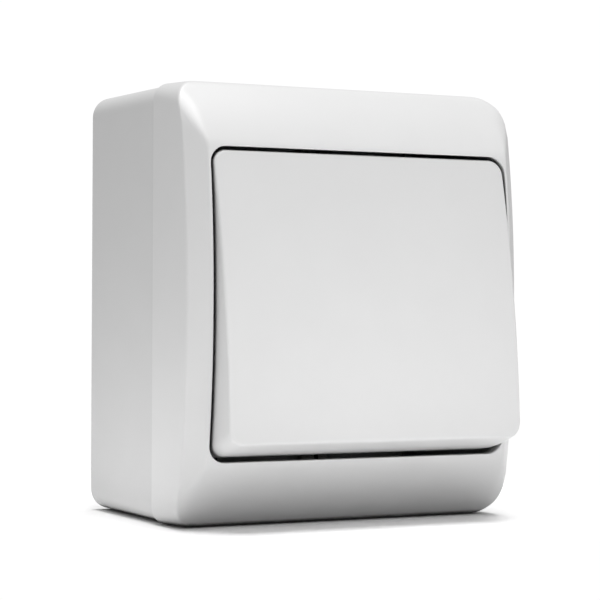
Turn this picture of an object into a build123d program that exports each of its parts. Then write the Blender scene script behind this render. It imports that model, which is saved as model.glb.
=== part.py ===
from build123d import *
from math import cos, radians, sin, sqrt
import os

# Surface-mounted rocker wall switch, in millimetres.
# The wall is the plane Y = 0, the switch faces -Y, +Z is up, and the origin is the centre of the back face.
# "Depth" is the distance from the wall, which is -Y.

# Outer size
width = 68.0
height = 80.0
seam_depth = 30.5  # where the front cover meets the back box
cover_proud = 0.2  # the cover overhangs the box by this on every side

# Back box
box_corner_r = 4.0
wall = 2.6
rear_wall = 3.0
rear_chamfer = 0.5
rabbet_width = 1.1  # step inside the box's rim, for the cover's rim
rabbet_depth = 2.5
post_r = 4.0
post_top = 27.0
post_spacing = 60.0
post_rib = 2.0
slot_width = 4.6  # wall screw slots
slot_length = 8.0
slot_spacing = 46.0
cable_hole_r = 9.0
grommet_recess_r = 10.6
grommet_recess = 1.0
grommet_bore_r = 4.5
grommet_depth = 4.4
flange_gap = 0.1

# Front cover
cover_corner_r = 3.2
opening_width = 61.1
opening_height = 55.9
opening_corner_r = 3.2
crown_r = 200.0  # the cover's front bows out along its height
opening_depth_mid = 49.25  # depth of the opening's edge half way up
bevel_rise = 3.6  # the side bevel's height
shoulder_r = 46.0  # top and bottom slope away from the opening on this radius
shoulder_depth = 38.1  # where those slopes would meet the flat top and bottom
inner_shoulder_depth = 37.9
shoulder_edge_r = 3.0
opening_edge_r = 0.25
land = 0.4  # narrow rim between the opening and the slopes around it
crown_wall = 2.4
clip_spacing = 40.0
clip_width = 10.0
clip_thickness = 1.2
clip_gap = 0.3
hook_gap = 0.1
clip_tip_depth = 19.0
hook_reach = 1.1
hook_length = 2.5

# Rocker
pivot_depth = 41.1
tilt = 8.1  # degrees each way from the middle
rocker_width = 59.9
rocker_face_height = 52.1
rocker_skirt_height = 54.8
rocker_end_r = 36.0  # its end faces bulge on this radius, inside a circle about the pivot
rocker_face = 9.9  # face above the pivot, at its ends
rocker_crown = 1.42
skirt_rear = -1.0  # skirt's rear edge, relative to the pivot
rocker_wall = 2.0
rocker_corner_r = 2.6
rocker_edge_r = 0.8
peg_r = 1.5
peg_x = 9.0
peg_z = 15.0
peg_length = 3.0
boss_r = 3.0
fit_gap = 0.05  # radial clearance of every small shaft in its hole

# Rocker carrier
carrier_width = 24.0
carrier_height = 40.0
plate_low = 3.0  # carrier plate, relative to the pivot
plate_high = 5.0
cheek_thickness = 2.0
cheek_height = 8.0
cheek_reach = 2.6
trunnion_r = 2.0
tube_r = 4.0
tube_reach = 13.0
plunger_r = 2.5
plunger_tip_r = 1.5
plunger_top = 8.0  # below the pivot
plunger_shoulder = 17.5
wire_r = 0.3
coil_r = 1.85
coil_pitch = 1.7

# Mechanism
base_width = 32.0
base_height = 44.4
base_low = 12.0
base_top = post_top
floor_depth = 14.5
pocket_width = 20.0
pocket_height = 27.0
bridge_width = 40.0
bridge_height = 70.0
bridge_thickness = 1.2
window_width = 23.0
window_height = 43.0
window_corner_r = 0.5
bridge_slot = 6.0
bridge_screw_r = 1.5
bridge_head_r = 3.0
bridge_head = 1.8
bridge_screw_tip = 17.0
cross_length = 3.4
frame_width = 33.0
frame_height = 27.6
frame_thickness = 2.2
aperture_width = 14.0
aperture_height = 18.0
ear_inner = 12.3
ear_outer = 16.0
ear_r = 4.2
rivet_x = 14.0
rivet_z = 10.5
rivet_r = 1.5
rivet_head_r = 2.2
rivet_head = 0.8

# Contacts
strip_thickness = 1.0
strip_width = 5.0
tip_r = 1.6
tip_height = 1.0
moulding_r = 1.0  # plan corners of the base, its pocket, the pivot frame and the see-saw
strip_gap = 0.2  # between a terminal strip and its slot in the base
dome_r = 3.2
contact_arm = 10.5  # tips are this far from the see-saw's axis
seesaw_angle = 7.0
seesaw_width = 5.6
seesaw_length = 25.0
seesaw_low = 0.6  # see-saw strip, relative to its axis
seesaw_high = 1.4
barrel_r = 1.0
barrel_length = 9.2
lug_inner = 3.4
lug_outer = 4.4
lug_half = 2.0
contact_gap = 0.03

# Terminals
terminal_x = 7.0
terminal_z = 17.8
cage_width = 8.4
cage_height = 6.0
cage_low = 13.2
cage_high = 22.2
wire_window = 5.2
wire_entry_r = 1.9
wire_depth = 17.0
terminal_screw_r = 1.5
terminal_head_r = 2.6
terminal_screw_tip = 18.0
terminal_head_low = 22.8
terminal_head_high = 24.8
driver_slot = 0.8

# Worked out from the above
cover_width = width + 2 * cover_proud
cover_height = height + 2 * cover_proud
inner_width = width - 2 * wall
inner_height = height - 2 * wall
inner_corner_r = box_corner_r - wall
rabbet_outer_width = inner_width + 2 * rabbet_width
rabbet_outer_height = inner_height + 2 * rabbet_width
rabbet_corner_r = inner_corner_r + rabbet_width
bridge_top = base_top + bridge_thickness
frame_top = bridge_top + frame_thickness
crown_centre = opening_depth_mid - crown_r
opening_depth_end = crown_centre + sqrt(crown_r**2 - (opening_height / 2) ** 2)
strip_top = floor_depth + strip_thickness
fixed_face = strip_top + tip_height
dome_height = dome_r - sqrt(dome_r**2 - tip_r**2)
tip_cylinder = tip_height - dome_height
dome_centre = seesaw_low - tip_height + dome_r
seesaw_depth = (
    fixed_face
    + contact_gap
    + dome_r
    + contact_arm * sin(radians(seesaw_angle))
    - dome_centre * cos(radians(seesaw_angle))
)
plunger_reach = pivot_depth - seesaw_depth - seesaw_high - fit_gap

# x is depth and y is up; the rocker and the see-saw have their own, tilted to the rest position
side = Plane(origin=(0, 0, 0), x_dir=(0, -1, 0), z_dir=(-1, 0, 0))
rocker_out = (0, -cos(radians(tilt)), sin(radians(tilt)))
rocker_side = Plane(origin=(0, -pivot_depth, 0), x_dir=rocker_out, z_dir=(-1, 0, 0))
rocker_front = Plane(origin=(0, -pivot_depth, 0), x_dir=(1, 0, 0), z_dir=rocker_out)
seesaw_out = (0, -cos(radians(seesaw_angle)), -sin(radians(seesaw_angle)))
seesaw_side = Plane(origin=(0, -seesaw_depth, 0), x_dir=seesaw_out, z_dir=(-1, 0, 0))
seesaw_front = Plane(origin=(0, -seesaw_depth, 0), x_dir=(1, 0, 0), z_dir=seesaw_out)

os.makedirs("parts", exist_ok=True)


def level(depth):
    """The plane parallel to the wall at this depth, seen from the room: x to the right, y up."""
    return Plane.XZ.offset(depth)


def save(piece, name):
    """Labels a finished piece and writes it."""
    piece.part.label = name
    export_step(piece.part, f"parts/{name}.step")


def block(x_range, z_range, depth_range, mode=Mode.ADD):
    """A rectangular block between two corners, added to or cut from the current piece."""
    sizes = [high - low for low, high in (x_range, depth_range, z_range)]
    middle = [(low + high) / 2 for low, high in (x_range, depth_range, z_range)]
    with Locations((middle[0], -middle[1], middle[2])):
        Box(*sizes, mode=mode)


# ---- Back box ----
with BuildPart() as back_box:
    with BuildSketch(level(0)):
        RectangleRounded(width, height, box_corner_r)
    extrude(amount=seam_depth)
    chamfer(back_box.faces().sort_by(Axis.Y)[-1].edges(), rear_chamfer)
    with BuildSketch(level(rear_wall)):
        RectangleRounded(inner_width, inner_height, inner_corner_r)
    extrude(amount=seam_depth - rear_wall, mode=Mode.SUBTRACT)
    with BuildSketch(level(seam_depth - rabbet_depth)):
        RectangleRounded(rabbet_outer_width, rabbet_outer_height, rabbet_corner_r)
    extrude(amount=rabbet_depth, mode=Mode.SUBTRACT)
    # posts that carry the mounting bridge, each tied to the wall by a rib
    with BuildSketch(level(rear_wall)):
        with GridLocations(0, post_spacing, 1, 2):
            Circle(post_r)
        with GridLocations(0, post_spacing / 2 + inner_height / 2 + wall / 2, 1, 2):
            Rectangle(post_rib, inner_height / 2 - post_spacing / 2 + wall / 2)
    extrude(amount=post_top - rear_wall)
    with BuildSketch(level(base_low)):
        with GridLocations(0, post_spacing, 1, 2):
            Circle(bridge_screw_r)
    extrude(amount=post_top - base_low, mode=Mode.SUBTRACT)
    # wall screw slots and the cable hole with its recess for the grommet's flange
    with BuildSketch(level(0)):
        with GridLocations(slot_spacing, 0, 2, 1):
            SlotOverall(slot_length, slot_width)
        Circle(cable_hole_r)
    extrude(amount=rear_wall, mode=Mode.SUBTRACT)
    with BuildSketch(level(0)):
        Circle(grommet_recess_r)
    extrude(amount=grommet_recess, mode=Mode.SUBTRACT)
    # pockets that the cover's hooks catch in
    for x_side in (-1, 1):
        for z_side in (-1, 1):
            hook_middle = clip_tip_depth + hook_length / 2
            with Locations((x_side * inner_width / 2, -hook_middle, z_side * clip_spacing / 2)):
                Box(2 * hook_reach, hook_length + 2 * hook_gap, clip_width + 2 * clip_gap, mode=Mode.SUBTRACT)

save(back_box, "back_box")

# ---- Front cover ----
bevel_side_depth = opening_depth_mid - bevel_rise
crown_axis = Axis((0, -crown_centre, 0), (1, 0, 0))
in_front = opening_depth_mid + 5.0  # clear of everything on the cover


def crowned_plan(half_side, side_depth, half_end, end_depth):
    """Adds a plan of the cover, with its side bevels, as x and -depth."""
    with BuildLine() as outline:
        Polyline(
            (-half_side, 0),
            (half_side, 0),
            (half_side, -side_depth),
            (half_end, -end_depth),
            (-half_end, -end_depth),
            (-half_side, -side_depth),
            close=True,
        )
    make_face(outline.edges())


def shouldered_side(half_height, front_depth, corner_depth):
    """Adds the cover's side view, crowned, its top and bottom sloping back, as depth and height."""
    edge_height = opening_height / 2 + land
    edge_depth = front_depth - crown_r + sqrt(crown_r**2 - edge_height**2)
    with BuildLine() as outline:
        slope = RadiusArc((edge_depth, edge_height), (corner_depth, half_height), -shoulder_r)
        Polyline(slope @ 1, (0, half_height), (0, 0), (front_depth, 0))
        RadiusArc((front_depth, 0), slope @ 0, -crown_r)
    make_face(outline.edges())
    mirror(about=Plane.XZ)


with BuildPart() as cover_cavity:
    with BuildSketch(Plane.XY):
        crowned_plan(
            inner_width / 2,
            bevel_side_depth - crown_wall / 2,
            inner_width / 2 - crown_wall,
            opening_depth_mid - crown_wall,
        )
    revolve(axis=crown_axis)
    with BuildSketch(side.offset(-width)):
        shouldered_side(inner_height / 2, opening_depth_mid - crown_wall, inner_shoulder_depth)
    extrude(amount=2 * width, mode=Mode.INTERSECT)

with BuildPart() as front_cover:
    with BuildSketch(level(seam_depth)):
        RectangleRounded(cover_width, cover_height, cover_corner_r)
    extrude(amount=in_front - seam_depth)
    with BuildSketch(Plane.XY):
        crowned_plan(cover_width / 2, bevel_side_depth, opening_width / 2 + land, opening_depth_mid)
    revolve(axis=crown_axis, mode=Mode.INTERSECT)
    with BuildSketch(side.offset(-width)) as side_view:
        shouldered_side(cover_height / 2, opening_depth_mid, shoulder_depth)
        shoulders = side_view.vertices().filter_by(lambda corner: corner.X > seam_depth)
        fillet(shoulders.filter_by(lambda corner: abs(corner.Y) > inner_height / 2), shoulder_edge_r)
    extrude(amount=2 * width, mode=Mode.INTERSECT)
    # the opening goes right through, with a softened edge
    with BuildSketch(level(seam_depth)):
        RectangleRounded(opening_width, opening_height, opening_corner_r)
    extrude(amount=in_front - seam_depth, mode=Mode.SUBTRACT)
    lands = front_cover.faces().filter_by(lambda face: face.center().Y < -opening_depth_end)
    opening_edges = lands.edges().filter_by(
        lambda edge: abs((edge @ 0.5).X) < opening_width / 2 + fit_gap
        and abs((edge @ 0.5).Z) < opening_height / 2 + fit_gap
    )
    fillet(opening_edges, opening_edge_r)
    add(cover_cavity.part, mode=Mode.SUBTRACT)
    # rim that drops into the box's rabbet
    rim_width = rabbet_outer_width - 2 * hook_gap
    rim_height = rabbet_outer_height - 2 * hook_gap
    with BuildSketch(level(seam_depth - rabbet_depth + fit_gap)):
        RectangleRounded(rim_width, rim_height, rabbet_corner_r)
        RectangleRounded(inner_width, inner_height, inner_corner_r, mode=Mode.SUBTRACT)
    extrude(amount=rabbet_depth)
    # hooked tongues that hold it to the box
    for x_side in (-1, 1):
        for z_side in (-1, 1):
            clip_z = z_side * clip_spacing / 2
            z_range = (clip_z - clip_width / 2, clip_z + clip_width / 2)
            clip_outer = inner_width / 2 - clip_gap
            clip_inner = clip_outer - clip_thickness
            clip_root = seam_depth - rabbet_depth + fit_gap
            for near, far, low, high in (
                (clip_inner, clip_outer, clip_tip_depth, seam_depth),
                (clip_inner, inner_width / 2 + fit_gap, clip_root, seam_depth + clip_thickness),
                (clip_outer, clip_outer + hook_reach, clip_tip_depth, clip_tip_depth + hook_length),
            ):
                block(sorted((x_side * near, x_side * far)), z_range, (low, high))

save(front_cover, "front_cover")

# ---- Cable grommet ----
with BuildPart() as cable_grommet:
    with BuildSketch(Plane.XY):
        with BuildLine():
            Polyline(
                (grommet_bore_r, -flange_gap),
                (grommet_recess_r - flange_gap, -flange_gap),
                (grommet_recess_r - flange_gap, -grommet_recess),
                (cable_hole_r - flange_gap, -grommet_recess),
                (cable_hole_r - flange_gap, -rear_wall),
                (grommet_recess_r - flange_gap, -rear_wall),
                (grommet_recess_r - grommet_recess, -grommet_depth),
                (grommet_bore_r, -grommet_depth),
                close=True,
            )
        make_face()
    revolve(axis=Axis.Y)

save(cable_grommet, "cable_grommet")

# ---- Mounting bridge: a steel plate across the two posts ----
with BuildPart() as mounting_bridge:
    with BuildSketch(level(base_top)):
        RectangleRounded(bridge_width, bridge_height, box_corner_r)
        RectangleRounded(window_width, window_height, window_corner_r, mode=Mode.SUBTRACT)
        with GridLocations(0, post_spacing, 1, 2):
            SlotOverall(bridge_slot, 2 * (bridge_screw_r + hook_gap), mode=Mode.SUBTRACT)
        with GridLocations(2 * rivet_x, 2 * rivet_z, 2, 2):
            Circle(rivet_r + fit_gap, mode=Mode.SUBTRACT)
    extrude(amount=bridge_thickness)

save(mounting_bridge, "mounting_bridge")


def stud(shank_r, head_r, low, head_low, head_high):
    """Adds half the section of a pan-headed shank on the current axis, as radius and depth."""
    with BuildLine() as outline:
        Polyline((0, head_high), (0, low), (shank_r, low), (shank_r, head_low), (head_r, head_low))
        head_edge = (head_r, (head_low + head_high) / 2)
        Line((head_r, head_low), head_edge)
        TangentArc((0, head_high), head_edge, tangent=(1, 0))
    make_face(outline.edges())


def section_at(x, z):
    """The plane through a screw's axis, with x as radius and y as depth."""
    return Plane(origin=(x, 0, z), x_dir=(1, 0, 0), z_dir=(0, 0, -1))


# ---- Bridge screws, with a cross recess ----
with BuildPart() as bridge_screws:
    for z_side in (-1, 1):
        with BuildSketch(section_at(0, z_side * post_spacing / 2)):
            stud(bridge_screw_r - fit_gap, bridge_head_r, bridge_screw_tip, bridge_top, bridge_top + bridge_head)
        revolve(axis=Axis((0, 0, z_side * post_spacing / 2), (0, 1, 0)))
    with BuildSketch(level(bridge_top + bridge_head)):
        with GridLocations(0, post_spacing, 1, 2):
            Rectangle(cross_length, driver_slot)
            Rectangle(driver_slot, cross_length)
    extrude(amount=-bridge_head / 2, mode=Mode.SUBTRACT)

save(bridge_screws, "bridge_screws")

# ---- Mechanism base: moulded block behind the bridge, with wells for the see-saw and the terminals ----
terminal_places = ((-terminal_x, 1), (terminal_x, 1), (-terminal_x, -1))

with BuildPart() as mechanism_base:
    with BuildSketch(level(base_low)):
        RectangleRounded(base_width, base_height, moulding_r)
    extrude(amount=base_top - base_low)
    with BuildSketch(level(floor_depth)):
        RectangleRounded(pocket_width, pocket_height, moulding_r)
    extrude(amount=base_top - floor_depth, mode=Mode.SUBTRACT)
    for x, z_side in terminal_places:
        with BuildSketch(level(cage_low - fit_gap)):
            with Locations((x, z_side * terminal_z)):
                Rectangle(cage_width + 2 * fit_gap, cage_height + 2 * fit_gap)
        extrude(amount=base_top - cage_low + fit_gap, mode=Mode.SUBTRACT)
        # channel that lets the strip into the terminal, and the wire's way in from the end
        with BuildSketch(level(floor_depth)):
            with Locations((x, z_side * pocket_height / 2)):
                Rectangle(strip_width + strip_gap, cage_height)
        extrude(amount=strip_thickness + strip_gap, mode=Mode.SUBTRACT)
        with Locations(Plane(origin=(x, -wire_depth, z_side * base_height / 2), z_dir=(0, 0, z_side))):
            Hole(wire_entry_r, depth=base_height / 2 - terminal_z)
    with BuildSketch(level(base_low)):
        with GridLocations(2 * rivet_x, 2 * rivet_z, 2, 2):
            Circle(rivet_r + fit_gap)
    extrude(amount=base_top - base_low, mode=Mode.SUBTRACT)

save(mechanism_base, "mechanism_base")

# ---- Pivot frame: clamps the bridge to the base and carries the rocker's bearings ----
with BuildPart() as pivot_frame:
    with BuildSketch(level(bridge_top)):
        RectangleRounded(frame_width, frame_height, moulding_r)
        Rectangle(aperture_width, aperture_height, mode=Mode.SUBTRACT)
        with GridLocations(2 * rivet_x, 2 * rivet_z, 2, 2):
            Circle(rivet_r + fit_gap, mode=Mode.SUBTRACT)
    extrude(amount=frame_thickness)
    for x_side in (-1, 1):
        ear_middle = x_side * (ear_inner + ear_outer) / 2
        with BuildSketch(Plane(origin=(ear_middle, 0, 0), x_dir=(0, -1, 0), z_dir=(-1, 0, 0))):
            with Locations((pivot_depth, 0)):
                Circle(ear_r)
            with Locations(((bridge_top + pivot_depth) / 2, 0)):
                Rectangle(pivot_depth - bridge_top, 2 * ear_r)
            with Locations((pivot_depth, 0)):
                Circle(trunnion_r + fit_gap, mode=Mode.SUBTRACT)
        extrude(amount=(ear_outer - ear_inner) / 2, both=True)

save(pivot_frame, "pivot_frame")

# ---- Rivets through pivot frame, bridge and base ----
with BuildPart() as mechanism_rivets:
    for x_side in (-1, 1):
        for z_side in (-1, 1):
            x = x_side * rivet_x
            z = z_side * rivet_z
            with BuildSketch(section_at(x, z)):
                stud(rivet_r, rivet_head_r, base_low - rivet_head, frame_top, frame_top + rivet_head)
            revolve(axis=Axis((x, 0, z), (0, 1, 0)))
    with BuildSketch(level(base_low - rivet_head)):
        with GridLocations(2 * rivet_x, 2 * rivet_z, 2, 2):
            Circle(rivet_head_r)
    extrude(amount=rivet_head)

save(mechanism_rivets, "mechanism_rivets")

# ---- Upper and lower terminals: flat strips from the fixed contact pad to the terminal ----
strip_end = terminal_z + cage_height / 2 - fit_gap
pad_half = strip_width / 2
for z_side, name in ((1, "upper_terminal"), (-1, "lower_terminal")):
    with BuildPart() as outer_terminal:
        block(
            (-terminal_x - pad_half, pad_half),
            sorted((z_side * (contact_arm - pad_half), z_side * (contact_arm + pad_half))),
            (floor_depth, strip_top),
        )
        block(
            (-terminal_x - pad_half, -terminal_x + pad_half),
            sorted((z_side * contact_arm, z_side * strip_end)),
            (floor_depth, strip_top),
        )
    save(outer_terminal, name)

# ---- Common terminal: a strip with two notched lugs that cradle the see-saw ----
with BuildPart() as common_terminal:
    block((-lug_outer, terminal_x + pad_half), (-pad_half, pad_half), (floor_depth, strip_top))
    block((terminal_x - pad_half, terminal_x + pad_half), (0, strip_end), (floor_depth, strip_top))
    for x_side in (-1, 1):
        lug_middle = x_side * (lug_inner + lug_outer) / 2
        with BuildSketch(Plane(origin=(lug_middle, 0, 0), x_dir=(0, -1, 0), z_dir=(-1, 0, 0))):
            with Locations(((strip_top + seesaw_depth) / 2, 0)):
                Rectangle(seesaw_depth - strip_top + fit_gap, 2 * lug_half)
            with Locations((seesaw_depth, 0)):
                Circle(barrel_r + fit_gap, mode=Mode.SUBTRACT)
        extrude(amount=(lug_outer - lug_inner) / 2, both=True)

save(common_terminal, "common_terminal")

# ---- Fixed contact tips: silver buttons on the two pads ----
with BuildPart() as fixed_contact_tips:
    with BuildSketch(level(strip_top)):
        with GridLocations(0, 2 * contact_arm, 1, 2):
            Circle(tip_r)
    extrude(amount=tip_height)

save(fixed_contact_tips, "fixed_contact_tips")

# ---- Moving contact: a see-saw strip with a rolled barrel, resting on the lower contact ----
with BuildPart() as moving_contact:
    with BuildSketch(seesaw_front.offset(seesaw_low)):
        RectangleRounded(seesaw_width, seesaw_length, moulding_r)
    extrude(amount=seesaw_high - seesaw_low)
    with BuildSketch(seesaw_side):
        Circle(barrel_r)
    extrude(amount=barrel_length / 2, both=True)

save(moving_contact, "moving_contact")

# ---- Moving contact tips: domed silver buttons on the see-saw's back ----
with BuildPart() as moving_contact_tips:
    for z_side in (-1, 1):
        tip_z = z_side * contact_arm
        tip_edge = tip_z + tip_r
        with BuildSketch(seesaw_side):
            with BuildLine():
                Polyline(
                    (seesaw_low - tip_height, tip_z),
                    (seesaw_low, tip_z),
                    (seesaw_low, tip_edge),
                    (seesaw_low - tip_cylinder, tip_edge),
                )
                tip_top = (seesaw_low - tip_height, tip_z)
                TangentArc(tip_top, (seesaw_low - tip_cylinder, tip_edge), tangent=(0, 1))
            make_face()
        revolve(axis=Axis(seesaw_side.from_local_coords((seesaw_low, tip_z, 0)), seesaw_out))

save(moving_contact_tips, "moving_contact_tips")

# ---- Terminal cages: brass boxes that the wires enter from the ends of the base ----
with BuildPart() as terminal_cages:
    for x, z_side in terminal_places:
        z = z_side * terminal_z
        block(
            (x - cage_width / 2, x + cage_width / 2),
            (z - cage_height / 2, z + cage_height / 2),
            (cage_low, cage_high),
        )
        block(
            (x - wire_window / 2, x + wire_window / 2),
            (z - cage_height, z + cage_height),
            (floor_depth - fit_gap, floor_depth + wire_window),
            Mode.SUBTRACT,
        )
        with Locations(Plane(origin=(x, -cage_high, z), z_dir=(0, -1, 0))):
            Hole(terminal_screw_r + fit_gap, depth=cage_high - floor_depth - wire_window / 2)

save(terminal_cages, "terminal_cages")

# ---- Terminal screws, with a straight slot ----
with BuildPart() as terminal_screws:
    for x, z_side in terminal_places:
        z = z_side * terminal_z
        with BuildSketch(section_at(x, z)):
            stud(terminal_screw_r, terminal_head_r, terminal_screw_tip, terminal_head_low, terminal_head_high)
        revolve(axis=Axis((x, 0, z), (0, 1, 0)))
        block(
            (x - terminal_head_r, x + terminal_head_r),
            (z - driver_slot / 2, z + driver_slot / 2),
            (terminal_head_high - driver_slot, terminal_head_high),
            Mode.SUBTRACT,
        )

save(terminal_screws, "terminal_screws")


# ---- Rocker: a crowned key whose end faces stay inside a circle about its own pivot ----
def rocker_section(inset, rear):
    """Adds the rocker's side view, this far inside its skin, as distance out from the pivot and height."""
    face = rocker_face - inset
    half_face = rocker_face_height / 2 - inset
    half_skirt = rocker_skirt_height / 2 - inset
    with BuildLine() as outline:
        ThreePointArc((face, -half_face), (face + rocker_crown, 0), (face, half_face))
        upper = RadiusArc((face, half_face), (rear, half_skirt), inset - rocker_end_r)
        lower = RadiusArc((rear, -half_skirt), (face, -half_face), inset - rocker_end_r)
        Line(upper @ 1, lower @ 0)
    make_face(outline.edges())


boss_low = plate_high + fit_gap

with BuildPart() as rocker:
    with BuildSketch(rocker_side.offset(-rocker_width / 2)):
        rocker_section(0, skirt_rear)
    extrude(amount=rocker_width)
    corners = rocker.edges().filter_by(GeomType.CIRCLE)
    fillet(corners.filter_by(lambda edge: abs(edge.radius - rocker_end_r) < fit_gap), rocker_corner_r)
    front_face = rocker.faces().sort_by(Axis(rocker_side.origin, rocker_out))[-1]
    fillet(front_face.edges(), rocker_edge_r)
    with BuildSketch(rocker_side.offset(rocker_wall - rocker_width / 2)):
        rocker_section(rocker_wall, skirt_rear - rocker_wall)
    extrude(amount=rocker_width - 2 * rocker_wall, mode=Mode.SUBTRACT)
    # bosses that take the carrier's pegs
    with BuildSketch(rocker_front.offset(boss_low)):
        with GridLocations(2 * peg_x, 2 * peg_z, 2, 2):
            Circle(boss_r)
    extrude(amount=rocker_face - boss_low - rocker_wall / 4)
    with BuildSketch(rocker_front.offset(boss_low)):
        with GridLocations(2 * peg_x, 2 * peg_z, 2, 2):
            Circle(peg_r + fit_gap)
    extrude(amount=peg_length + fit_gap, mode=Mode.SUBTRACT)

save(rocker, "rocker")

# ---- Rocker carrier: plate with pegs, trunnions on two cheeks, and the plunger's tube ----
trunnion_length = ear_outer - carrier_width / 2 - fit_gap

with BuildPart() as rocker_carrier:
    with BuildSketch(rocker_front.offset(plate_low)):
        RectangleRounded(carrier_width, carrier_height, trunnion_r)
    extrude(amount=plate_high - plate_low)
    with BuildSketch(rocker_front.offset(plate_high)):
        with GridLocations(2 * peg_x, 2 * peg_z, 2, 2):
            Circle(peg_r)
    extrude(amount=peg_length)
    with BuildSketch(rocker_front.offset(-cheek_reach)):
        with GridLocations(carrier_width - cheek_thickness, 0, 2, 1):
            Rectangle(cheek_thickness, cheek_height)
    extrude(amount=cheek_reach + plate_low)
    for start in (carrier_width / 2, -carrier_width / 2 - trunnion_length):
        with BuildSketch(rocker_side.offset(start)):
            Circle(trunnion_r)
        extrude(amount=trunnion_length)
    with BuildSketch(rocker_front.offset(-tube_reach)):
        Circle(tube_r)
    extrude(amount=tube_reach + plate_low)
    with BuildSketch(rocker_front.offset(-tube_reach)):
        Circle(plunger_r + fit_gap)
    extrude(amount=tube_reach + plate_low, mode=Mode.SUBTRACT)

save(rocker_carrier, "rocker_carrier")

# ---- Plunger: rounded pin that the spring pushes towards the see-saw ----
tip_centre = plunger_reach - plunger_tip_r

with BuildPart() as plunger:
    with BuildSketch(rocker_side):
        with BuildLine():
            Polyline(
                (-plunger_reach, 0),
                (-plunger_top, 0),
                (-plunger_top, plunger_r),
                (-plunger_shoulder, plunger_r),
                (-tip_centre, plunger_tip_r),
            )
            TangentArc((-plunger_reach, 0), (-tip_centre, plunger_tip_r), tangent=(0, 1))
        make_face()
    revolve(axis=Axis(rocker_side.origin, rocker_out))

save(plunger, "plunger")

# ---- Plunger spring, between the plunger and the carrier's plate ----
spring_clear = wire_r + 2 * fit_gap

with BuildPart() as plunger_spring:
    with BuildLine() as coil:
        Helix(
            pitch=coil_pitch,
            height=plunger_top + plate_low - 2 * spring_clear,
            radius=coil_r,
            center=rocker_front.from_local_coords((0, 0, spring_clear - plunger_top)),
            direction=rocker_out,
        )
    with BuildSketch(Plane(origin=coil.line @ 0, z_dir=coil.line % 0)):
        Circle(wire_r)
    sweep(path=coil.line, is_frenet=True)

save(plunger_spring, "plunger_spring")
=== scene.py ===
import math

import bpy
import numpy as np
from mathutils import Matrix, Vector


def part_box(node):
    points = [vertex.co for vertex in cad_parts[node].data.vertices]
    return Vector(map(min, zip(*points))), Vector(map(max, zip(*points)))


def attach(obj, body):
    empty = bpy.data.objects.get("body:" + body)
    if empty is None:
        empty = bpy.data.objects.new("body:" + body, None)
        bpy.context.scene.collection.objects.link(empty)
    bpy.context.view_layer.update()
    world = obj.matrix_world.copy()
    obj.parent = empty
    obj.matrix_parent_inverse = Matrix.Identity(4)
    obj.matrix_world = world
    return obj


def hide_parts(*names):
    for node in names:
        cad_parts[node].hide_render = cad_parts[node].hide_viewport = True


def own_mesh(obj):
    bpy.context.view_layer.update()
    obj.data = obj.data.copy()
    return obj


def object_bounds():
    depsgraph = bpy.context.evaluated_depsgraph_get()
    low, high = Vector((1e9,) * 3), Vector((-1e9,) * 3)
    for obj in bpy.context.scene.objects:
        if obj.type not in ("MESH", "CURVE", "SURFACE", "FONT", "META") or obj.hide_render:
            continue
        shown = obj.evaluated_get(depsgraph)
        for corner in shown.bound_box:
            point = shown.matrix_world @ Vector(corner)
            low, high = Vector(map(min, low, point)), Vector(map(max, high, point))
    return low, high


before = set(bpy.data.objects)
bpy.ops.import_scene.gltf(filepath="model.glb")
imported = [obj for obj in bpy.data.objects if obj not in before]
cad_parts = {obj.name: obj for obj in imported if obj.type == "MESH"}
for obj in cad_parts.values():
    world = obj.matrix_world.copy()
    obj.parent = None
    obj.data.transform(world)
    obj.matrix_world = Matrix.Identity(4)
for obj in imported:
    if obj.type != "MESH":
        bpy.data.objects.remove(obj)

# Looks of a surface-mounted rocker wall switch.
# The wall is the plane y = 0, the switch faces -y and +z is up. Depth is the distance from the wall.
# Lengths are in millimetres and become metres when a mesh is made, unless a comment says metres.
MM = 0.001

cad_low, cad_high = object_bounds()
cover_low, cover_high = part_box("front_cover")
rocker_low, rocker_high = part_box("rocker")

# Front cover
HALF_WIDTH = (cover_high.x - cover_low.x) / 2 / MM
HALF_HEIGHT = (cover_high.z - cover_low.z) / 2 / MM
SEAM = 30.5  # depth where the cover meets the box
CORNER_R = 3.2  # at the seam
CREASE_R = 5.2  # where the sides meet the front
OPENING = (30.55, 27.95)  # half width and half height
OPENING_R = 3.2
CROWN_R = 200.0
FRONT = 49.25  # depth of the opening's edge half way up
LAND = 0.4  # rim between the opening and the slopes around it
BEVEL_RISE = 3.6
SHOULDER_R = 46.0  # the top and bottom slope away from the opening on this radius
SHOULDER_DEPTH = 38.1  # where those slopes would meet the flat top and bottom
SHOULDER_EDGE_R = 3.0
SHOULDER_BLEND = 0.3  # how soft the edge is between the land and the shoulder
LAND_BLEND = 0.22  # the same between the land and the side bevel
MITRE_BLEND = 3.5  # how soft the ridge is between the side bevel and the shoulder
MITRE_RUN = 9.0  # the ridge reaches full softness this far above the opening
INNER = (31.4, 37.4)  # half width and half height of the cavity
INNER_R = 1.4
RIM = (32.4, 38.4)  # half width and half height of the rim that drops into the box
RIM_R = 2.5
RIM_DEPTH = 28.05
CROWN_WALL = 2.4
SEAM_GAP = 0.1  # shows as the seam's dark line
FRONT_POINTS = 90
UNDER_POINTS = 20

# The cover's section is a loop of legs, from the opening's wall over the front and back inside.
# Each leg ends in a corner, softened over a (width, number of steps), and has some points before it.
COVER_CORNERS = ((0.55, 7), (1.1, 12), (0.2, 5)) + 5 * ((0.12, 2),)
COVER_COUNTS = (2, 24, 4, 1, 1, 1, 2, 6)

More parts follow.
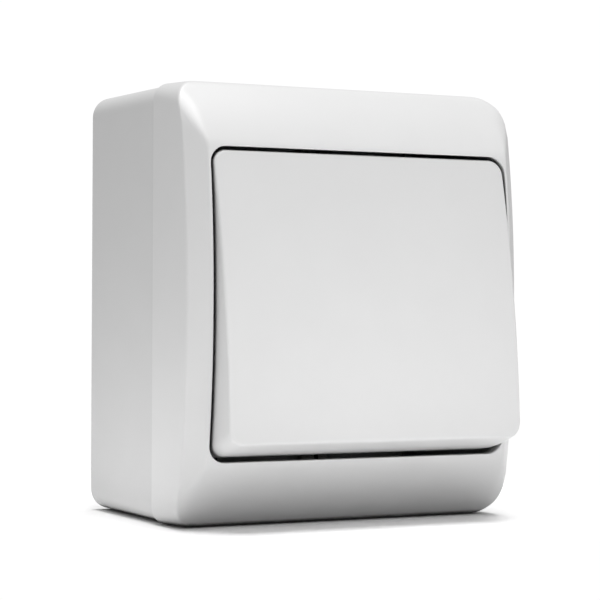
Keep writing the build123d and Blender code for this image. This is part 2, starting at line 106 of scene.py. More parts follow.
# Tongues that clip the cover to the box
TONGUE_Z = 20.0
TONGUE_WIDTH = 10.0
TONGUE_SECTION = (
    (29.9, 19.0),
    (31.4, 19.0),
    (32.2, 20.3),
    (32.2, 21.5),
    (31.1, 21.5),
    (31.1, 28.05),
    (31.45, 28.05),
    (31.45, 31.7),
    (29.9, 31.7),
)

# Rocker, measured out from its pivot, tilted back at rest
PIVOT_DEPTH = 41.1
TILT = math.radians(8.1)
ROCKER_HALF_WIDTH = (rocker_high.x - rocker_low.x) / 2 / MM
ROCKER_END_R = 36.0
ROCKER_HALF_FACE = 26.05
ROCKER_HALF_SKIRT = 27.4
ROCKER_FACE = 9.9
ROCKER_CROWN = 1.42
ROCKER_REAR = -1.0
ROCKER_CORNER_R = 2.6
ROCKER_INNER_CORNER_R = 0.6
ROCKER_WALL = 2.0
ROCKER_PLAN = 25.0  # half height at which the plan of the end faces is laid out
ROCKER_CORNERS = ((1.2, 10), (0.4, 3), (0.4, 3), (0.4, 3), (0, 0))
ROCKER_COUNTS = (8, 10, 1, 4, 3)
ROCKER_CORE = (22.0, 18.0)  # half sizes of the plain grid in the middle of the face
SKIN_POINTS = 20
LINING_POINTS = 10
SKIRT_POINTS = 30
BOSS_PLACES = ((-9, -15), (-9, 15), (9, -15), (9, 15))
BOSS_SECTION = ((1.55, 8.1), (1.55, 5.05), (3.0, 5.05), (3.0, 9.4))
BOSS_STEPS = 48

# Plunger spring, on the rocker's out direction
SPRING_LOW = -7.6  # the coil's inner end, out from the pivot
SPRING_LENGTH = 10.2
SPRING_PITCH = 1.7
SPRING_R = 1.85
SPRING_WIRE_R = 0.3
SPRING_SIDES = 12
SPRING_TURN_STEPS = 36

SIDE_STEPS = 26
CORNER_STEPS = 10
TINY = 1e-4
PLAIN_WINDOW = 0.1  # the plain part of a leg is averaged over no more than this
SHARP_WINDOW = 0.02  # the same where the leg's corner isn't softened


# ---- Meshes ----
def add_object(name, points, faces):
    """A smooth-shaded mesh object from points in millimetres."""
    mesh = bpy.data.meshes.new(name)
    mesh.from_pydata([tuple(float(value) * MM for value in point) for point in points], [], faces)
    mesh.shade_smooth()
    made = bpy.data.objects.new(name, mesh)
    bpy.context.scene.collection.objects.link(made)
    return made


def rounded_loop(half_x, half_z, radius):
    """Points (x, z) round a rounded rectangle; loops of different sizes have matching stations."""
    corners = ((1, -1, -90), (1, 1, 0), (-1, 1, 90), (-1, -1, 180))
    loop = []
    for index, (sign_x, sign_z, start) in enumerate(corners):
        centre = np.array((sign_x * (half_x - radius), sign_z * (half_z - radius)))
        for step in range(CORNER_STEPS + 1):
            angle = math.radians(start + 90 * step / CORNER_STEPS)
            loop.append(centre + radius * np.array((math.cos(angle), math.sin(angle))))
        next_x, next_z, next_start = corners[(index + 1) % 4]
        angle = math.radians(next_start)
        after = np.array((next_x * (half_x - radius), next_z * (half_z - radius)))
        after = after + radius * np.array((math.cos(angle), math.sin(angle)))
        last = loop[-1]
        for step in range(1, SIDE_STEPS):
            loop.append(last + (after - last) * step / SIDE_STEPS)
    return np.array(loop)


def averaged(points, places, width):
    """Points along a polyline at these arc lengths, each the mean of the polyline over this width."""
    lengths = np.linalg.norm(np.diff(points, axis=0), axis=1)
    arc = np.concatenate(((0.0,), np.cumsum(lengths)))
    step_means = (points[1:] + points[:-1]) / 2 * lengths[:, None]
    total = np.concatenate((np.zeros((1, 3)), np.cumsum(step_means, axis=0)))

    def integral(place):
        index = np.clip(np.searchsorted(arc, place) - 1, 0, len(lengths) - 1)
        part = place - arc[index]
        direction = (points[index + 1] - points[index]) / lengths[index][:, None]
        return total[index] + points[index] * part[:, None] + direction * (part**2 / 2)[:, None]

    places = np.clip(places, TINY, arc[-1] - TINY)
    half = np.minimum(np.minimum(width / 2, places), arc[-1] - places)
    return (integral(places + half) - integral(places - half)) / (2 * half)[:, None]


def softened(legs, softness, counts, closed):
    """One section: legs joined end to end, every corner between them rounded over its own width.

    Each leg is an array of points that starts where the one before it ends. softness holds a
    (width, steps) for the corner at the end of each leg, and counts how many points each leg gets
    between its corners.
    """
    line = np.concatenate([legs[0][:1]] + [leg[1:] for leg in legs])
    ends = np.cumsum([np.linalg.norm(np.diff(leg, axis=0), axis=1).sum() for leg in legs])
    length = ends[-1]
    if closed:
        line = np.concatenate((line[:-1], line[:-1], line))
    offset = length if closed else 0.0
    out = []
    start = softness[-1][0] / 2 if closed else 0.0
    for index, (end, (width, steps), count) in enumerate(zip(ends, softness, counts)):
        stop = end - width / 2
        places = offset + np.linspace(start, stop, count + 2)
        at_start = not closed and index == 0
        at_end = not closed and index == len(legs) - 1
        plain = places[1:-1] if not at_start else places[:-1]
        if at_end:
            plain = np.append(plain, offset + end)
        narrow = min(width, PLAIN_WINDOW) if width else SHARP_WINDOW
        out.append(averaged(line, plain, narrow))
        if not at_end:
            around = offset + end + np.linspace(-width / 2, width / 2, steps + 1)
            out.append(averaged(line, around, width))
        start = end + width / 2
    return np.concatenate(out)


def ring_faces(first, second, count):
    """Quads between two rings of vertices, given the index each ring starts at."""
    faces = []
    for i in range(count):
        after = (i + 1) % count
        faces.append((first + i, first + after, second + after, second + i))
    return faces


def straight(start, end, count=2):
    return np.linspace(start, end, count)


def smooth_min(a, b, blend):
    """The lesser of two values, rounded where they are within this much of each other."""
    share = np.clip(0.5 + 0.5 * (b - a) / blend, 0, 1)
    return b * (1 - share) + a * share - blend * share * (1 - share)


def arc_centre(first, second, radius):
    """Centre of the arc of this radius through two points, on the origin's side of them."""
    first, second = np.array(first), np.array(second)
    middle = (first + second) / 2
    along = second - first
    half = np.linalg.norm(along) / 2
    inward = np.array((along[1], -along[0])) / (2 * half)
    if inward @ middle > 0:
        inward = -inward
    return middle + inward * math.sqrt(radius**2 - half**2)


# ---- Front cover ----
def shoulder_depth(z):
    """Depth of the top's slope at this height, up to and round its edge."""
    edge_z = OPENING[1] + LAND
    edge_depth = FRONT - CROWN_R + math.sqrt(CROWN_R**2 - edge_z**2)
    slope_z, slope_depth = arc_centre((edge_z, edge_depth), (HALF_HEIGHT, SHOULDER_DEPTH), SHOULDER_R)
    gap = SHOULDER_R - SHOULDER_EDGE_R
    round_z = HALF_HEIGHT - SHOULDER_EDGE_R
    round_depth = slope_depth + math.sqrt(gap**2 - (round_z - slope_z) ** 2)
    meeting_z = slope_z + (round_z - slope_z) * SHOULDER_R / gap
    if z < meeting_z:
        return slope_depth + math.sqrt(SHOULDER_R**2 - (z - slope_z) ** 2)
    return round_depth + math.sqrt(max(SHOULDER_EDGE_R**2 - (z - round_z) ** 2, 0.0))


def front_depth(x, z):
    """Depth of the cover's front: crowned in height, with bevelled sides and sloping top and bottom."""
    x, z = abs(x), abs(z)
    crown_centre = FRONT - CROWN_R
    crown = crown_centre + math.sqrt(CROWN_R**2 - z**2)
    slope = BEVEL_RISE / (HALF_WIDTH - OPENING[0] - LAND)
    bevel_r = CROWN_R - (x - OPENING[0] - LAND) * slope
    bevel = crown_centre + math.sqrt(bevel_r**2 - z**2)
    front = smooth_min(crown, shoulder_depth(z), SHOULDER_BLEND)
    ramp = np.clip((z - OPENING[1]) / MITRE_RUN, 0, 1)
    ramp = ramp**2 * (3 - 2 * ramp)
    return smooth_min(front, bevel, LAND_BLEND + (MITRE_BLEND - LAND_BLEND) * ramp)


def on_front(start, end, inset, count):
    """Points over the cover's front, or that far behind it, along a straight line seen from the room."""
    share = np.linspace(0, 1, count)[:, None]
    plan = start + (end - start) * share * (2 - share)
    return np.array([(x, -(front_depth(x, z) - inset), z) for x, z in plan])


def at_depth(plan, depth):
    return np.array((plan[0], -depth, plan[1]))


def build_cover():
    outline = rounded_loop(HALF_WIDTH, HALF_HEIGHT, CORNER_R)
    crease = rounded_loop(HALF_WIDTH, HALF_HEIGHT, CREASE_R)
    opening = rounded_loop(*OPENING, OPENING_R)
    rim = rounded_loop(*RIM, RIM_R)
    inner = rounded_loop(*INNER, INNER_R)
    sections = []
    for edge, turn, out, lip, wall in zip(opening, crease, outline, rim, inner):
        front = on_front(edge, turn, 0, FRONT_POINTS)
        under = on_front(wall, edge, CROWN_WALL, UNDER_POINTS)
        legs = (
            straight(under[-1], front[0]),
            front,
            straight(front[-1], at_depth(out, SEAM + SEAM_GAP)),
            straight(at_depth(out, SEAM + SEAM_GAP), at_depth(lip, SEAM + SEAM_GAP)),
            straight(at_depth(lip, SEAM + SEAM_GAP), at_depth(lip, RIM_DEPTH)),
            straight(at_depth(lip, RIM_DEPTH), at_depth(wall, RIM_DEPTH)),
            straight(at_depth(wall, RIM_DEPTH), under[0]),
            under,
        )
        sections.append(softened(legs, COVER_CORNERS, COVER_COUNTS, True))
    rings = np.array(sections).transpose(1, 0, 2)
    count = len(outline)
    faces = []
    for index in range(len(rings)):
        after = (index + 1) % len(rings)
        faces.extend(ring_faces(index * count, after * count, count))
    return add_object("cover_shell", rings.reshape(-1, 3), faces)


def build_tongues():
    """Four hooked tongues inside the cover's long sides."""
    points, faces = [], []
    count = len(TONGUE_SECTION)
    for side in (-1, 1):
        for end in (-1, 1):
            first = len(points)
            for edge in (-1, 1):
                z = end * TONGUE_Z + edge * TONGUE_WIDTH / 2
                points.extend((side * x, -depth, z) for x, depth in TONGUE_SECTION)
            walls = ring_faces(first, first + count, count)
            near_cap = tuple(range(first + count - 1, first - 1, -1))
            far_cap = tuple(range(first + count, first + 2 * count))
            faces.extend(face if side > 0 else face[::-1] for face in walls + [near_cap, far_cap])
    tongues = add_object("cover_tongues", points, faces)
    tongues.data.shade_flat()
    return tongues


# ---- Rocker ----
def from_pivot(x, up, out):
    """A point given across, up the rocker's face and out from its pivot, in the object's frame."""
    depth = PIVOT_DEPTH + out * math.cos(TILT) - up * math.sin(TILT)
    return np.array((x, -depth, out * math.sin(TILT) + up * math.cos(TILT)))


def face_out(up, inset):
    """How far the crowned face stands out from the pivot."""
    half = ROCKER_HALF_FACE - inset
    crown_r = (half**2 + ROCKER_CROWN**2) / (2 * ROCKER_CROWN)
    return ROCKER_FACE - inset + ROCKER_CROWN - crown_r + math.sqrt(crown_r**2 - up**2)


def end_up(out, inset):
    """How far up the bulging end face is, this far out from the pivot."""
    face_end = (ROCKER_FACE - inset, ROCKER_HALF_FACE - inset)
    rear_end = (ROCKER_REAR, ROCKER_HALF_SKIRT - inset)
    end_r = ROCKER_END_R - inset
    centre_out, centre_up = arc_centre(face_end, rear_end, end_r)
    return centre_up + math.sqrt(end_r**2 - (min(out, face_end[0]) - centre_out) ** 2)


def plan_point(index, half_up, inset, loops):
    """Station on the rocker's plan when its end faces are this far up; the plan is linear in that."""
    low, high = loops[inset]
    return low[index] + (high[index] - low[index]) * (half_up - ROCKER_PLAN)


def build_rocker():
    loops = {}
    for inset in (0.0, ROCKER_WALL):
        half_width = ROCKER_HALF_WIDTH - inset
        corner = max(ROCKER_CORNER_R - inset, ROCKER_INNER_CORNER_R)
        loops[inset] = [rounded_loop(half_width, ROCKER_PLAN + more, corner) for more in (0, 1)]
    count = len(loops[0.0][0])
    side = SIDE_STEPS + CORNER_STEPS

    # the stations half way round each corner lie on the corners of the plain grid
    core = []
    half_corner = CORNER_STEPS // 2
    core_corners = [np.array(c) * ROCKER_CORE for c in ((1, -1), (1, 1), (-1, 1), (-1, -1))]
    for index in range(4):
        before, after = core_corners[index], core_corners[(index + 1) % 4]
        core.extend(before + (after - before) * step / side for step in range(side))
    core = np.roll(np.array(core), half_corner, axis=0)

    def skin(index, inset, steps):
        """The end of the face and the skirt below it at one station, from the core outward and down."""
        edge = plan_point(index, ROCKER_HALF_FACE - inset, inset, loops)
        top = straight(core[index], edge, steps)
        face = np.array([from_pivot(x, up, face_out(up, inset)) for x, up in top])
        skirt = []
        for out in np.linspace(face_out(edge[1], inset), ROCKER_REAR, SKIRT_POINTS):
            x, up = plan_point(index, end_up(out, inset), inset, loops)
            skirt.append(from_pivot(x, up, out))
        return face, np.array(skirt)

    sections = []
    for index in range(count):
        face, skirt = skin(index, 0.0, SKIN_POINTS)
        under, lining = skin(index, ROCKER_WALL, LINING_POINTS)
        legs = (face, skirt, straight(skirt[-1], lining[-1]), lining[::-1], under[::-1])
        sections.append(softened(legs, ROCKER_CORNERS, ROCKER_COUNTS, False))
    rings = np.array(sections).transpose(1, 0, 2)
    points = list(rings.reshape(-1, 3))
    faces = []
    for index in range(len(rings) - 1):
        faces.extend(ring_faces(index * count, (index + 1) * count, count))
    for ring, inset, turned in ((0, 0.0, False), (len(rings) - 1, ROCKER_WALL, True)):
        faces.extend(core_grid(points, ring * count, core, side, inset, turned, half_corner, count))
    return add_object("rocker_shell", points, faces)


def core_grid(points, first, core, steps, inset, turned, half_corner, count):
    """Fills the middle of the face with a grid that shares the ring's vertices around its edge."""
    xs = np.linspace(-ROCKER_CORE[0], ROCKER_CORE[0], steps + 1)
    ups = np.linspace(-ROCKER_CORE[1], ROCKER_CORE[1], steps + 1)
    grid = {}
    for index in range(count):
        x, up = core[index]
        column = round((x + ROCKER_CORE[0]) / (2 * ROCKER_CORE[0]) * steps)
        row = round((up + ROCKER_CORE[1]) / (2 * ROCKER_CORE[1]) * steps)
        grid[column, row] = first + index
    for column, x in enumerate(xs):
        for row, up in enumerate(ups):
            if (column, row) not in grid:
                grid[column, row] = len(points)
                points.append(from_pivot(x, up, face_out(up, inset)))
    faces = []
    for column in range(steps):
        for row in range(steps):
            left = (grid[column, row], grid[column, row + 1])
            quad = left + (grid[column + 1, row + 1], grid[column + 1, row])
            faces.append(quad[::-1] if turned else quad)
    return faces


def build_bosses():
    """Four round bosses under the face, each with a blind hole for a peg of the carrier."""
    steps = BOSS_STEPS
    points, faces = [], []
    for x, up in BOSS_PLACES:
        first = len(points)
        for radius, out in BOSS_SECTION:
            for step in range(steps):
                angle = 2 * math.pi * step / steps
                across, along = radius * math.cos(angle), radius * math.sin(angle)
                points.append(from_pivot(x + across, up + along, out))
        for ring in range(len(BOSS_SECTION) - 1):
            faces.extend(ring_faces(first + ring * steps, first + (ring + 1) * steps, steps))
        last = first + (len(BOSS_SECTION) - 1) * steps
        faces.append(tuple(range(first + steps - 1, first - 1, -1)))
        faces.append(tuple(range(last, last + steps)))
    bosses = add_object("rocker_bosses", points, faces)
    bosses.data.shade_flat()
    return bosses


def build_spring():
    """A wire coil between the plunger and the carrier's plate."""
    sides = SPRING_SIDES
    turns = SPRING_LENGTH / SPRING_PITCH
    steps = round(turns * SPRING_TURN_STEPS)
    points, faces = [], []
    for step in range(steps + 1):
        angle = 2 * math.pi * turns * step / steps
        radial = np.array((math.cos(angle), math.sin(angle), 0))
        along = np.array((-math.sin(angle), math.cos(angle), SPRING_PITCH / (2 * math.pi * SPRING_R)))
        along = along / np.linalg.norm(along)
        across = np.cross(along, radial)
        centre = SPRING_R * radial + np.array((0, 0, SPRING_LOW + SPRING_LENGTH * step / steps))
        for side in range(sides):
            turn = 2 * math.pi * side / sides
            point = centre + SPRING_WIRE_R * (radial * math.cos(turn) + across * math.sin(turn))
            points.append(from_pivot(*point))
        if step:
            faces.extend(ring_faces((step - 1) * sides, step * sides, sides))
    last = steps * sides
    faces.append(tuple(range(sides - 1, -1, -1)))
    faces.append(tuple(range(last, last + sides)))
    return add_object("spring_coil", points, faces)


# ---- Materials ----
PAINTED_SHADE_REACH = 2.0  # how near another surface has to be for shade to be painted into a crevice, in millimetres
INSIDE_PAINTED_SHADE_REACH = 25.0  # the same for the painted shade on the pieces inside
PAINTED_SHADE_RANGE = (0.1, 0.45)  # openness up to which a crevice gets the full painted shade, and from which it gets none
# share of its colour that a crevice keeps where the painted shade is darkest
PAINTED_SHADE_TONE = 0.02
PAINTED_SHADE_SAMPLES = 8
NOISE_RANGE = (0.3, 0.7)  # where nearly all of a noise's values lie
MOULDING_CLOUD = 9.0  # size of the faint unevenness in a moulding
METAL_CLOUD = 3.0
GLOSS_SPREAD = 0.04
METAL_GLOSS_SPREAD = 0.08
METAL_STAIN = 0.88
METAL_RELIEF = 0.01
METAL_RELIEF_STRENGTH = 0.3
PLASTIC_RELIEF_STRENGTH = 0.25


def new_material(name):
    material = bpy.data.materials.new(name)
    material.use_nodes = True
    nodes = material.node_tree.nodes
    return material, nodes, material.node_tree.links, nodes["Principled BSDF"]


def noise(nodes, links, feature, detail, stretch=(1, 1, 1)):
    """Noise whose features are this many millimetres across, stretched along the object's axes."""
    place = nodes.new("ShaderNodeTexCoord")
    mapping = nodes.new("ShaderNodeMapping")
    mapping.inputs["Scale"].default_value = [1 / (MM * feature * s) for s in stretch]
    links.new(place.outputs["Object"], mapping.inputs["Vector"])
    texture = nodes.new("ShaderNodeTexNoise")
    texture.inputs["Scale"].default_value = 1.0
    texture.inputs["Detail"].default_value = detail
    links.new(mapping.outputs["Vector"], texture.inputs["Vector"])
    return texture.outputs["Fac"]


def vary(nodes, links, source, low, high, target):
    """Drives a value between two limits from a noise."""
    spread = nodes.new("ShaderNodeMapRange")
    spread.inputs["From Min"].default_value, spread.inputs["From Max"].default_value = NOISE_RANGE
    spread.inputs["To Min"].default_value = low
    spread.inputs["To Max"].default_value = high
    links.new(source, spread.inputs["Value"])
    links.new(spread.outputs["Result"], target)


def tint(nodes, links, source, first, second, target):
    """Mixes two colours by a noise."""
    mix = nodes.new("ShaderNodeMix")
    mix.data_type = "RGBA"
    mix.inputs["A"].default_value = (*first, 1)
    mix.inputs["B"].default_value = (*second, 1)
    vary(nodes, links, source, 0, 1, mix.inputs["Factor"])
    links.new(mix.outputs["Result"], target)


def relief(nodes, links, height, depth, strength, target):
    """Raises the surface by a noise, depth in millimetres."""
    bump = nodes.new("ShaderNodeBump")
    bump.inputs["Strength"].default_value = strength
    bump.inputs["Distance"].default_value = depth * MM
    links.new(height, bump.inputs["Height"])
    links.new(bump.outputs["Normal"], target)


def tint_with_painted_shade(nodes, links, source, first, second, reach, target):
    """Mixes two colours by a noise, and paints shade into them where another surface is within reach."""
    # painted shade: the colour goes towards near black where an ambient occlusion node finds another
    # surface close by
    painted_shade_occlusion = nodes.new("ShaderNodeAmbientOcclusion")
    painted_shade_occlusion.samples = PAINTED_SHADE_SAMPLES
    painted_shade_occlusion.inputs["Distance"].default_value = reach * MM
    openness = nodes.new("ShaderNodeMapRange")
    openness.interpolation_type = "SMOOTHSTEP"
    openness.inputs["From Min"].default_value, openness.inputs["From Max"].default_value = PAINTED_SHADE_RANGE
    links.new(painted_shade_occlusion.outputs["AO"], openness.inputs["Value"])
    shade = nodes.new("ShaderNodeMix")
    shade.data_type = "RGBA"
    shade.inputs["A"].default_value = (*[c * PAINTED_SHADE_TONE for c in second], 1)
    links.new(openness.outputs["Result"], shade.inputs["Factor"])
    tint(nodes, links, source, first, second, shade.inputs["B"])
    links.new(shade.outputs["Result"], target)


def plastic(name, colour, roughness, reach, grain=0.35, grain_depth=0.002, spread=0.015):
    """Moulded plastic: a fine grain, slightly uneven gloss and colour, with shade painted deep into its
    crevices.
    """
    material, nodes, links, shader = new_material(name)
    broad = noise(nodes, links, MOULDING_CLOUD, detail=3.0)
    fine = noise(nodes, links, grain, detail=2.0)
    darker = [c * (1 - spread) for c in colour]
    tint_with_painted_shade(nodes, links, broad, darker, colour, reach, shader.inputs["Base Color"])
    gloss = (roughness - GLOSS_SPREAD, roughness + GLOSS_SPREAD)
    vary(nodes, links, fine, *gloss, shader.inputs["Roughness"])
    relief(nodes, links, fine, grain_depth, PLASTIC_RELIEF_STRENGTH, shader.inputs["Normal"])
    return material


def metal(name, colour, roughness, stretch=(1, 1, 12), grain=0.12):
    """Metal with a drawn or rolled grain along one axis and faint staining, with shade painted where it
    is shut in.
    """
    material, nodes, links, shader = new_material(name)
    broad = noise(nodes, links, METAL_CLOUD, detail=4.0)
    drawn = noise(nodes, links, grain, detail=3.0, stretch=stretch)
    shader.inputs["Metallic"].default_value = 1.0
    stained = [c * METAL_STAIN for c in colour]
    tint_with_painted_shade(nodes, links, broad, stained, colour, INSIDE_PAINTED_SHADE_REACH, shader.inputs["Base Color"])
    gloss = (roughness - METAL_GLOSS_SPREAD, roughness + METAL_GLOSS_SPREAD)
    vary(nodes, links, drawn, *gloss, shader.inputs["Roughness"])
    relief(nodes, links, drawn, METAL_RELIEF, METAL_RELIEF_STRENGTH, shader.inputs["Normal"])
    return material


finishes = {
    "box_plastic": plastic("box_plastic", (0.735, 0.735, 0.735), 0.42, PAINTED_SHADE_REACH),
    "cover_plastic": plastic("cover_plastic", (0.8, 0.8, 0.8), 0.33, PAINTED_SHADE_REACH),
    "rocker_plastic": plastic("rocker_plastic", (0.77, 0.77, 0.77), 0.36, PAINTED_SHADE_REACH),
    "carrier_plastic": plastic("carrier_plastic", (0.72, 0.72, 0.68), 0.45, INSIDE_PAINTED_SHADE_REACH),
    "base_plastic": plastic(
        "base_plastic", (0.10, 0.095, 0.09), 0.55, INSIDE_PAINTED_SHADE_REACH, grain=0.2, grain_depth=0.02, spread=0.15
    ),
    "grommet_rubber": plastic(
        "grommet_rubber", (0.03, 0.03, 0.03), 0.72, PAINTED_SHADE_REACH, grain=0.25, grain_depth=0.03, spread=0.3
    ),
    "bridge_steel": metal("bridge_steel", (0.66, 0.67, 0.66), 0.38),
    "screw_steel": metal("screw_steel", (0.62, 0.62, 0.60), 0.30, stretch=(1, 8, 1)),
    "rivet_steel": metal("rivet_steel", (0.60, 0.60, 0.60), 0.34, stretch=(1, 1, 1)),
    "spring_steel": metal("spring_steel", (0.50, 0.50, 0.50), 0.28, stretch=(1, 1, 1)),
    "terminal_brass": metal("terminal_brass", (0.78, 0.58, 0.26), 0.32),
    "contact_silver": metal("contact_silver", (0.86, 0.85, 0.82), 0.22, stretch=(1, 1, 1)),
}
node_finishes = {
    "back_box": "box_plastic",
    "front_cover": "cover_plastic",
    "cable_grommet": "grommet_rubber",
    "mounting_bridge": "bridge_steel",
    "bridge_screws": "screw_steel",
    "mechanism_base": "base_plastic",
    "pivot_frame": "carrier_plastic",
    "mechanism_rivets": "rivet_steel",
    "common_terminal": "terminal_brass",
    "upper_terminal": "terminal_brass",
    "lower_terminal": "terminal_brass",
    "fixed_contact_tips": "contact_silver",
    "moving_contact": "terminal_brass",
    "moving_contact_tips": "contact_silver",
    "terminal_cages": "bridge_steel",
    "terminal_screws": "screw_steel",
    "rocker": "rocker_plastic",
    "rocker_carrier": "carrier_plastic",
    "plunger": "carrier_plastic",
    "plunger_spring": "spring_steel",
}


def finish_piece(piece, slot):
    piece.data.materials.clear()
    piece.data.materials.append(finishes[slot])


for node, slot in node_finishes.items():
    finish_piece(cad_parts[node], slot)

cover = build_cover()
tongues = build_tongues()
rocker = build_rocker()
bosses = build_bosses()
spring = build_spring()
for piece, body, slot in (
    (cover, "housing", "cover_plastic"),
    (tongues, "housing", "cover_plastic"),
    (rocker, "rocker", "rocker_plastic"),
    (bosses, "rocker", "rocker_plastic"),
    (spring, "rocker", "spring_steel"),
):
    finish_piece(piece, slot)
    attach(piece, body)
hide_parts("front_cover")
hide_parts("rocker")
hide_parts("plunger_spring")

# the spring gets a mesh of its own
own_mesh(spring)


# ---- Floor, light and camera ----
LAMP_AIM = Vector((0, -0.025, 0))  # metres, the middle of the switch


def direction(azimuth, elevation):
    """Unit vector to a place round the object; azimuth 0 is in front, negative is to its left."""
    a, e = math.radians(azimuth), math.radians(elevation)
    return Vector((math.sin(a) * math.cos(e), -math.cos(a) * math.cos(e), math.sin(e)))


def softbox(name, azimuth, elevation, distance, size, watts):
    """A rectangular lamp that faces the switch's middle, distance and size in metres."""
    data = bpy.data.lights.new(name, "AREA")
    data.shape = "RECTANGLE"
    data.size, data.size_y = size
    data.energy = watts
    lamp = bpy.data.objects.new(name, data)
    lamp.visible_camera = False
    bpy.context.scene.collection.objects.link(lamp)
    toward = direction(azimuth, elevation)
    lamp.location = toward * distance + LAMP_AIM
    lamp.rotation_mode = "QUATERNION"
    lamp.rotation_quaternion = (-toward).to_track_quat("-Z", "Y")


softbox("top", azimuth=0, elevation=85, distance=0.9, size=(0.6, 0.6), watts=7.9)

AMBIENT = 0.31  # what the surroundings light the switch with
BACKDROP = 1.02  # what the camera sees behind it
world = bpy.data.worlds.new("studio")
bpy.context.scene.world = world
world.use_nodes = True
sky = world.node_tree
backdrop = sky.nodes["Background"]
seen = sky.nodes.new("ShaderNodeLightPath")
strength = sky.nodes.new("ShaderNodeMapRange")
strength.inputs["To Min"].default_value = AMBIENT
strength.inputs["To Max"].default_value = BACKDROP
backdrop.inputs["Color"].default_value = (1, 1, 1, 1)
sky.links.new(seen.outputs["Is Camera Ray"], strength.inputs["Value"])
sky.links.new(strength.outputs["Result"], backdrop.inputs["Strength"])

FLOOR_SIZE = 3.0  # metres
FLOOR_GAP = 0.02  # millimetres below the switch
FLOOR_TONE = 0.8  # for bounced light, away from the patches
PATCH_FADE = (0.5, 1.3)  # shares of a patch's half size over which it fades out
FLOOR_SEEN = 1.2  # its tone for the camera, so that it meets the white backdrop
FLOOR_FADE = (0.065, 0.1)  # metres from its middle over which the camera sees it fade out
# Painted light and painted shade on the floor for bounced light: a bright patch to the switch's left, a
# brighter one further in front, and a painted shadow just in front of its cover. Centre and half size of
# each patch in metres, and the tone the floor has there for bounced light
PAINTED_LIGHT_AND_SHADE_PATCHES = (
    ((-0.062, -0.028), (0.028, 0.045), 1.6),
    ((0.0, -0.125), (0.09, 0.05), 2.4),
    ((0.0, -0.045), (0.045, 0.02), 0.55),
)


def floor_bounce_with_painted_light(nodes, links):
    """Tone of the floor for bounced light: even, but for patches of painted light and painted shade that
    fade out at their edges.
    """
    place = nodes.new("ShaderNodeTexCoord")
    tone = nodes.new("ShaderNodeValue")
    tone.outputs["Value"].default_value = FLOOR_TONE
    tone = tone.outputs["Value"]
    for (x, y), (half_x, half_y), patch_tone in PAINTED_LIGHT_AND_SHADE_PATCHES:
        fit = nodes.new("ShaderNodeMapping")
        fit.inputs["Location"].default_value = (-x / half_x, -y / half_y, 0)
        fit.inputs["Scale"].default_value = (1 / half_x, 1 / half_y, 0)
        links.new(place.outputs["Object"], fit.inputs["Vector"])
        reach = nodes.new("ShaderNodeVectorMath")
        reach.operation = "LENGTH"
        links.new(fit.outputs["Vector"], reach.inputs[0])
        patch = nodes.new("ShaderNodeMapRange")
        patch.interpolation_type = "SMOOTHSTEP"
        patch.inputs["From Min"].default_value, patch.inputs["From Max"].default_value = PATCH_FADE
        patch.inputs["To Min"].default_value = patch_tone
        links.new(tone, patch.inputs["To Max"])
        links.new(reach.outputs["Value"], patch.inputs["Value"])
        tone = patch.outputs["Result"]
    return tone


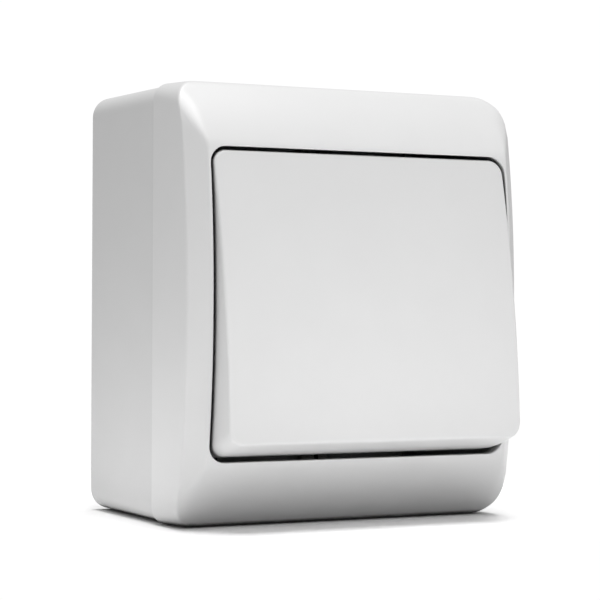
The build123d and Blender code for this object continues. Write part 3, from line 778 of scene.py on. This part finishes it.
def paper_material():
    """White paper that fades out into the backdrop, and bounces light with its own tone, with patches of
    painted light and painted shade.
    """
    paper, nodes, links, shader = new_material("floor_paper")
    nodes.remove(shader)
    path = nodes.new("ShaderNodeLightPath")

    # its tone is FLOOR_SEEN for the camera and reflections, and the bounce's tone for all other light
    mirrored = nodes.new("ShaderNodeMath")
    mirrored.operation = "MAXIMUM"
    links.new(path.outputs["Is Camera Ray"], mirrored.inputs[0])
    links.new(path.outputs["Is Glossy Ray"], mirrored.inputs[1])
    tone = nodes.new("ShaderNodeMapRange")
    tone.inputs["To Max"].default_value = FLOOR_SEEN
    links.new(floor_bounce_with_painted_light(nodes, links), tone.inputs["To Min"])
    links.new(mirrored.outputs["Value"], tone.inputs["Value"])
    matte = nodes.new("ShaderNodeBsdfDiffuse")
    links.new(tone.outputs["Result"], matte.inputs["Color"])

    # only the camera sees it fade out
    place = nodes.new("ShaderNodeTexCoord")
    away = nodes.new("ShaderNodeVectorMath")
    away.operation = "LENGTH"
    links.new(place.outputs["Object"], away.inputs[0])
    fade = nodes.new("ShaderNodeMapRange")
    fade.interpolation_type = "SMOOTHSTEP"
    fade.inputs["From Min"].default_value, fade.inputs["From Max"].default_value = FLOOR_FADE
    links.new(away.outputs["Value"], fade.inputs["Value"])
    only_seen = nodes.new("ShaderNodeMath")
    only_seen.operation = "MULTIPLY"
    links.new(fade.outputs["Result"], only_seen.inputs[0])
    links.new(path.outputs["Is Camera Ray"], only_seen.inputs[1])
    clear = nodes.new("ShaderNodeBsdfTransparent")
    mixer = nodes.new("ShaderNodeMixShader")
    links.new(only_seen.outputs["Value"], mixer.inputs["Fac"])
    links.new(matte.outputs["BSDF"], mixer.inputs[1])
    links.new(clear.outputs["BSDF"], mixer.inputs[2])
    links.new(mixer.outputs["Shader"], nodes["Material Output"].inputs["Surface"])
    return paper


half_floor = FLOOR_SIZE / 2
floor_z = cad_low.z - FLOOR_GAP * MM
floor_corners = [(x * half_floor, y * half_floor) for x, y in ((-1, -1), (1, -1), (1, 1), (-1, 1))]
floor_mesh = bpy.data.meshes.new("floor")
floor_mesh.from_pydata([(x, y, floor_z) for x, y in floor_corners], [], [(0, 1, 2, 3)])
floor_mesh.materials.append(paper_material())
floor = bpy.data.objects.new("floor", floor_mesh)
bpy.context.scene.collection.objects.link(floor)

CAMERA_PLACE = Vector((-184.5, -378.9, 1.2)) * MM
CAMERA_LOOK = Vector((0.4601, 0.8878, -0.001)).normalized()
CAMERA_ROLL = math.radians(0.304)
SENSOR = 36.0
FOCAL = 124.96
CLIP_NEAR = 0.02  # metres
right = CAMERA_LOOK.cross(Vector((0, 0, 1))).normalized()
above = right.cross(CAMERA_LOOK)
rolled_right = right * math.cos(CAMERA_ROLL) + above * math.sin(CAMERA_ROLL)
rolled_above = above * math.cos(CAMERA_ROLL) - right * math.sin(CAMERA_ROLL)
camera_data = bpy.data.cameras.new("camera")
camera_data.sensor_width = SENSOR
camera_data.lens = FOCAL
camera_data.clip_start = CLIP_NEAR
camera = bpy.data.objects.new("camera", camera_data)
bpy.context.scene.collection.objects.link(camera)
camera_axes = Matrix((rolled_right, rolled_above, -CAMERA_LOOK)).transposed()
camera.matrix_world = Matrix.Translation(CAMERA_PLACE) @ camera_axes.to_4x4()
bpy.context.scene.camera = camera
bpy.context.scene.view_settings.view_transform = "Standard"
